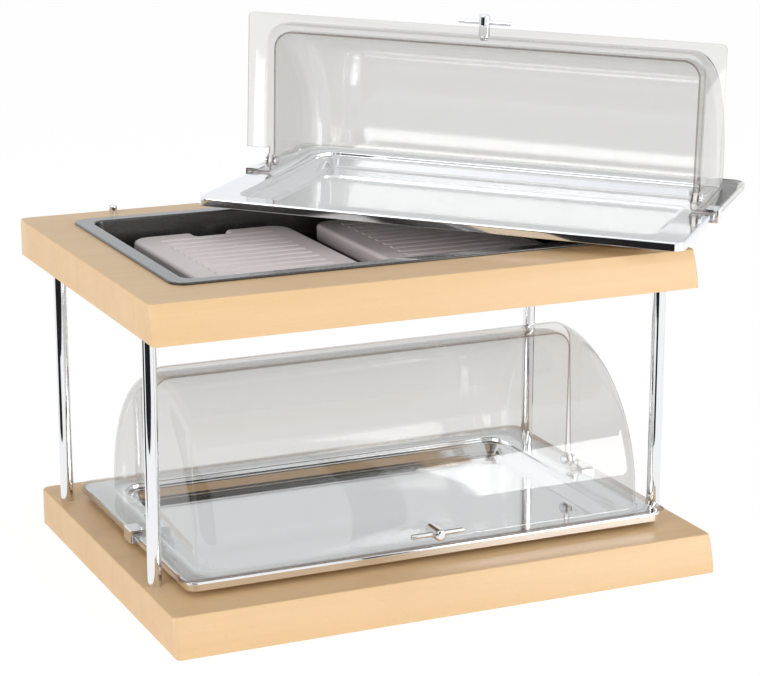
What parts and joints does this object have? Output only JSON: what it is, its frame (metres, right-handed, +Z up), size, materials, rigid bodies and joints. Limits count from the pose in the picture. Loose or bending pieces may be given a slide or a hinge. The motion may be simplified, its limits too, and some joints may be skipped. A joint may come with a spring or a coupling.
{
  "type": "refrigerated buffet display",
  "caption": "Tiered cooled buffet display: wooden boards on chrome columns, serving trays under clear roll-top covers, and a black tub of cold packs.",
  "frame": {"origin": "centre of the lower board's underside, which stands on the table", "axes": "+X to the right along the boards, -Y towards the front where the lower cover's handle is, +Z up"},
  "size_m": [0.7651, 0.6118, 0.5406],
  "materials": {
    "beech": "clear satin lacquer",
    "chrome": "polished chrome plate",
    "polished_steel": "mirror-polished stainless steel",
    "steel": "plain stainless steel",
    "brass": "machined",
    "clear_plastic": "clear polycarbonate, polished",
    "nylon": "natural nylon",
    "tub_plastic": "black, satin",
    "pack_plastic": "warm grey, lightly textured"
  },
  "bodies": {
    "base": {"lower_board": "beech", "upper_board": "beech", "column_front_left": "chrome", "column_front_right": "chrome", "column_back_left": "chrome", "column_back_right": "chrome", "column_screws": "steel", "column_washers": "steel", "column_inserts": "brass", "tub": "tub_plastic", "cold_pack_left": "pack_plastic", "cold_pack_right": "pack_plastic", "pack_plugs": "pack_plastic", "stop_pin_left": "chrome", "stop_pin_right": "chrome"},
    "lower_covered_tray": {"lower_tray": "polished_steel", "lower_rear_cover": "clear_plastic", "lower_pivot_spacers": "nylon", "lower_pivot_nuts": "steel", "lower_pivot_pin_left": "chrome", "lower_pivot_pin_right": "chrome", "lower_cover_clip_left": "polished_steel", "lower_cover_clip_right": "polished_steel"},
    "lower_front_shell": {"lower_front_cover": "clear_plastic", "lower_handle_stem": "chrome", "lower_handle_bar": "chrome", "lower_handle_screw": "steel"},
    "upper_covered_tray": {"upper_tray": "polished_steel", "upper_rear_cover": "clear_plastic", "upper_pivot_spacers": "nylon", "upper_pivot_nuts": "steel", "upper_pivot_pin_left": "chrome", "upper_pivot_pin_right": "chrome", "upper_cover_clip_left": "polished_steel", "upper_cover_clip_right": "polished_steel"},
    "upper_front_shell": {"upper_front_cover": "clear_plastic", "upper_handle_stem": "chrome", "upper_handle_bar": "chrome", "upper_handle_screw": "steel"}
  },
  "joints": [
    {"name": "lower_cover_opens", "type": "hinge", "parent": "lower_covered_tray", "child": "lower_front_shell", "pos_m": [0, 0, 0.0651], "axis": [-1, 0, 0], "range_deg": [0, 90]},
    {"name": "upper_cover_closes", "type": "hinge", "parent": "upper_covered_tray", "child": "upper_front_shell", "pos_m": [0.17259, 0.09446, 0.36257], "axis": [-0.737, 0.6753, 0.0276], "range_deg": [-90, 0]},
    {"name": "upper_tray_lifts", "type": "slide", "parent": "base", "child": "upper_covered_tray", "axis": [0, 0, 1], "range_m": [0, 0.05]},
    {"name": "lower_tray_lifts", "type": "slide", "parent": "base", "child": "lower_covered_tray", "axis": [0, 0, 1], "range_m": [0, 0.04]}
  ]
}
